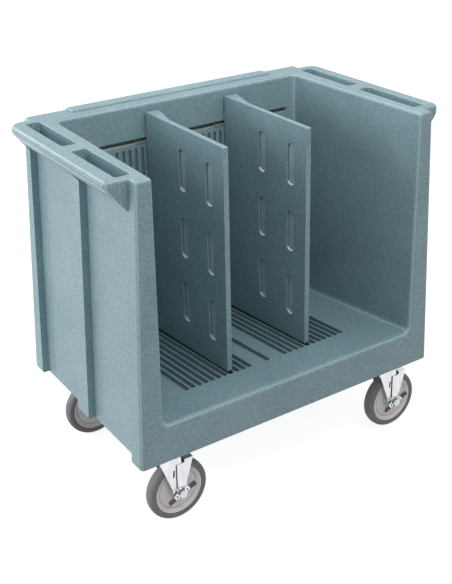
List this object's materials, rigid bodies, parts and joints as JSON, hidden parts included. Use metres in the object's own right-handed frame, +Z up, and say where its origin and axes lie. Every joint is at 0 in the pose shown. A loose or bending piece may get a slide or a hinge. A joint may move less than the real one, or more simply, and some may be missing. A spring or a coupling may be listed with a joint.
{
  "type": "dish cart",
  "caption": "Moulded open-front dish cart with lift-out dividers in a grooved bay, side handles and swivel casters, the front ones braked.",
  "frame": {"origin": "on the floor below the middle of the cart", "axes": "+Z up, +X along the long side towards the right-hand handle, the open front faces -Y"},
  "size_m": [0.93, 0.5799, 0.917],
  "materials": {
    "body_plastic": "speckled matt",
    "divider_plastic": "speckled matt",
    "rail_steel": "bare",
    "hook_steel": "bare",
    "zinc_steel": "bright zinc",
    "fastener_steel": "zinc",
    "ball_steel": "polished",
    "insert_brass": "knurled",
    "wheel_plastic": "satin",
    "tyre_rubber": "matt",
    "bush_plastic": "plain",
    "shoe_rubber": "matt",
    "pad_rubber": "ribbed"
  },
  "bodies": {
    "cart": {"cart_body": "body_plastic", "divider_rail": "rail_steel", "rail_screws": "fastener_steel", "caster_inserts": "insert_brass", "caster_bolts": "fastener_steel", "caster_washers": "fastener_steel", "swivel_balls": "ball_steel", "front_left_caster_plate": "zinc_steel", "front_left_kingpin": "fastener_steel", "front_right_caster_plate": "zinc_steel", "front_right_kingpin": "fastener_steel", "back_left_caster_plate": "zinc_steel", "back_left_kingpin": "fastener_steel", "back_right_caster_plate": "zinc_steel", "back_right_kingpin": "fastener_steel"},
    "left_divider_unit": {"left_divider": "divider_plastic", "left_divider_hook": "hook_steel", "left_hook_screws": "fastener_steel"},
    "right_divider_unit": {"right_divider": "divider_plastic", "right_divider_hook": "hook_steel", "right_hook_screws": "fastener_steel"},
    "front_left_swivel": {"front_left_fork": "zinc_steel", "front_left_axle": "fastener_steel", "front_left_axle_nut": "fastener_steel", "front_left_brake_arm": "zinc_steel"},
    "front_left_rolling_wheel": {"front_left_wheel": "wheel_plastic", "front_left_tyre": "tyre_rubber", "front_left_axle_bush": "bush_plastic"},
    "front_left_brake_rocker": {"front_left_brake_lever": "zinc_steel", "front_left_brake_pads": "pad_rubber"},
    "front_left_brake_block": {"front_left_brake_shoe": "shoe_rubber"},
    "front_right_swivel": {"front_right_fork": "zinc_steel", "front_right_axle": "fastener_steel", "front_right_axle_nut": "fastener_steel", "front_right_brake_arm": "zinc_steel"},
    "front_right_rolling_wheel": {"front_right_wheel": "wheel_plastic", "front_right_tyre": "tyre_rubber", "front_right_axle_bush": "bush_plastic"},
    "front_right_brake_rocker": {"front_right_brake_lever": "zinc_steel", "front_right_brake_pads": "pad_rubber"},
    "front_right_brake_block": {"front_right_brake_shoe": "shoe_rubber"},
    "back_left_swivel": {"back_left_fork": "zinc_steel", "back_left_axle": "fastener_steel", "back_left_axle_nut": "fastener_steel"},
    "back_left_rolling_wheel": {"back_left_wheel": "wheel_plastic", "back_left_tyre": "tyre_rubber", "back_left_axle_bush": "bush_plastic"},
    "back_right_swivel": {"back_right_fork": "zinc_steel", "back_right_axle": "fastener_steel", "back_right_axle_nut": "fastener_steel"},
    "back_right_rolling_wheel": {"back_right_wheel": "wheel_plastic", "back_right_tyre": "tyre_rubber", "back_right_axle_bush": "bush_plastic"}
  },
  "joints": [
    {"name": "left_divider_draw_out", "type": "slide", "parent": "cart", "child": "left_divider_unit", "axis": [0, -0.9119, 0.4104], "range_m": [0, 0.6]},
    {"name": "right_divider_draw_out", "type": "slide", "parent": "cart", "child": "right_divider_unit", "axis": [0, -0.9119, 0.4104], "range_m": [0, 0.6]},
    {"name": "front_left_swivel_turn", "type": "hinge", "parent": "cart", "child": "front_left_swivel", "pos_m": [-0.3415, -0.22, 0.19], "axis": [0, 0, 1], "continuous": true},
    {"name": "front_left_wheel_roll", "type": "hinge", "parent": "front_left_swivel", "child": "front_left_rolling_wheel", "pos_m": [-0.3095, -0.22, 0.08], "axis": [0, 1, 0], "continuous": true},
    {"name": "front_left_brake_press", "type": "hinge", "parent": "front_left_swivel", "child": "front_left_brake_rocker", "pos_m": [-0.3095, -0.22, 0.08], "axis": [0, 1, 0], "range_deg": [0, 26]},
    {"name": "front_left_brake_grip", "type": "slide", "parent": "front_left_swivel", "child": "front_left_brake_block", "axis": [0, 0, -1], "range_m": [0, 0.0018]},
    {"name": "front_right_swivel_turn", "type": "hinge", "parent": "cart", "child": "front_right_swivel", "pos_m": [0.3415, -0.22, 0.19], "axis": [0, 0, 1], "continuous": true},
    {"name": "front_right_wheel_roll", "type": "hinge", "parent": "front_right_swivel", "child": "front_right_rolling_wheel", "pos_m": [0.3735, -0.22, 0.08], "axis": [0, 1, 0], "continuous": true},
    {"name": "front_right_brake_press", "type": "hinge", "parent": "front_right_swivel", "child": "front_right_brake_rocker", "pos_m": [0.3735, -0.22, 0.08], "axis": [0, 1, 0], "range_deg": [0, 26]},
    {"name": "front_right_brake_grip", "type": "slide", "parent": "front_right_swivel", "child": "front_right_brake_block", "axis": [0, 0, -1], "range_m": [0, 0.0018]},
    {"name": "back_left_swivel_turn", "type": "hinge", "parent": "cart", "child": "back_left_swivel", "pos_m": [-0.3415, 0.22, 0.19], "axis": [0, 0, 1], "continuous": true},
    {"name": "back_left_wheel_roll", "type": "hinge", "parent": "back_left_swivel", "child": "back_left_rolling_wheel", "pos_m": [-0.3095, 0.22, 0.08], "axis": [0, 1, 0], "continuous": true},
    {"name": "back_right_swivel_turn", "type": "hinge", "parent": "cart", "child": "back_right_swivel", "pos_m": [0.3415, 0.22, 0.19], "axis": [0, 0, 1], "continuous": true},
    {"name": "back_right_wheel_roll", "type": "hinge", "parent": "back_right_swivel", "child": "back_right_rolling_wheel", "pos_m": [0.3735, 0.22, 0.08], "axis": [0, 1, 0], "continuous": true}
  ],
  "couplings": [
    {"joint": "front_left_brake_grip", "follows": "front_left_brake_press", "m_per_rad": 0.00396},
    {"joint": "front_right_brake_grip", "follows": "front_right_brake_press", "m_per_rad": 0.00396}
  ]
}
